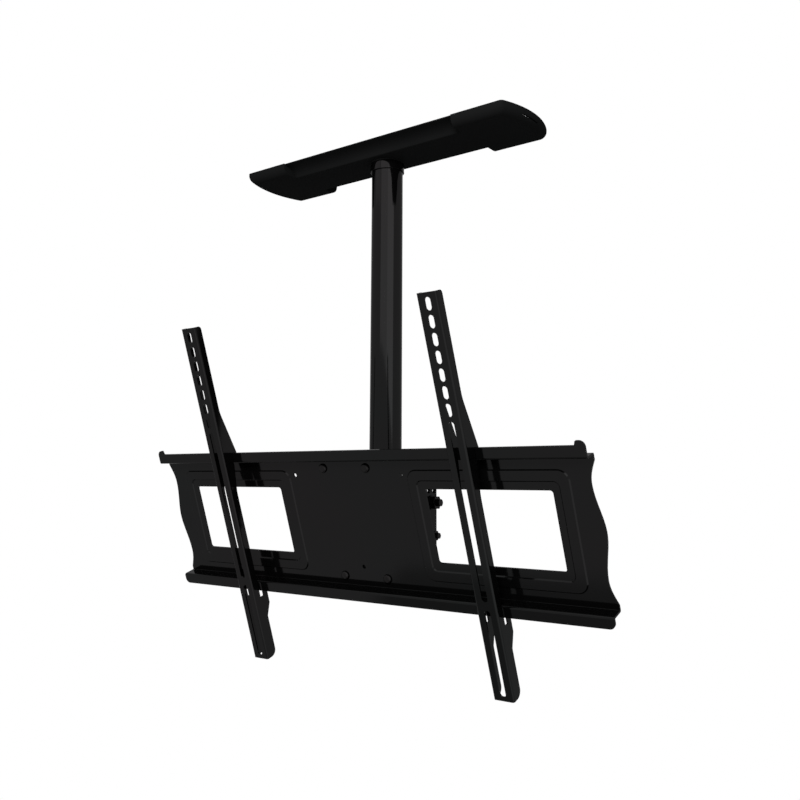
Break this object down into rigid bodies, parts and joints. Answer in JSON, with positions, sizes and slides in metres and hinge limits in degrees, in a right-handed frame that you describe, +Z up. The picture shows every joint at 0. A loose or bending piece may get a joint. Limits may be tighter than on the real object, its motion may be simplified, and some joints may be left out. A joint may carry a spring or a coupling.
{
  "type": "tv ceiling mount",
  "caption": "Black ceiling mount for a flat screen: shallow ceiling cover, swivelling round column, tilting yoke, wide windowed plate and sliding hook-on slotted arms.",
  "frame": {"origin": "centre of the four ceiling slots, on the column's axis in the plane of the ceiling", "axes": "+Z up to the ceiling, -Y the way the screen faces, +X to the right seen from the front"},
  "size_m": [0.7524, 0.2683, 0.7801],
  "materials": {
    "black_steel": "semi-gloss black powder coat",
    "black_hardware": "black oxide, satin",
    "black_plastic": "fine matte grain"
  },
  "bodies": {
    "ceiling": {"ceiling_plate": "black_steel", "swivel_retainer": "black_steel", "swivel_screws": "black_hardware", "retainer_screws": "black_hardware", "ceiling_cover": "black_plastic"},
    "column": {"column_tube": "black_steel", "swivel_flange": "black_steel", "cover_collar": "black_steel", "collar_screw": "black_hardware", "foot_plate": "black_steel", "foot_bolts": "black_hardware", "foot_nuts": "black_hardware", "tilt_yoke": "black_steel", "pivot_bolts": "black_hardware", "friction_washers": "black_plastic", "pivot_washers": "black_hardware", "pivot_nuts": "black_hardware"},
    "screen": {"tilt_carrier": "black_steel", "lock_bolts": "black_hardware", "lock_spacers": "black_plastic", "lock_washers": "black_hardware", "lock_nuts": "black_hardware", "screen_plate": "black_steel", "plate_bolts": "black_hardware", "plate_nuts": "black_hardware"},
    "left_arm": {"left_arm": "black_steel"},
    "right_arm": {"right_arm": "black_steel"}
  },
  "joints": [
    {"name": "column_swivel", "type": "hinge", "parent": "ceiling", "child": "column", "pos_m": [0, 0, -0.0073], "axis": [0, 0, 1], "continuous": true},
    {"name": "screen_tilt", "type": "hinge", "parent": "column", "child": "screen", "pos_m": [0, 0, -0.5373], "axis": [1, 0, 0], "range_deg": [-19, 1]},
    {"name": "left_arm_slide", "type": "slide", "parent": "screen", "child": "left_arm", "axis": [1, 0, 0], "range_m": [-0.131, 0.198]},
    {"name": "right_arm_slide", "type": "slide", "parent": "screen", "child": "right_arm", "axis": [1, 0, 0], "range_m": [-0.198, 0.131]}
  ]
}
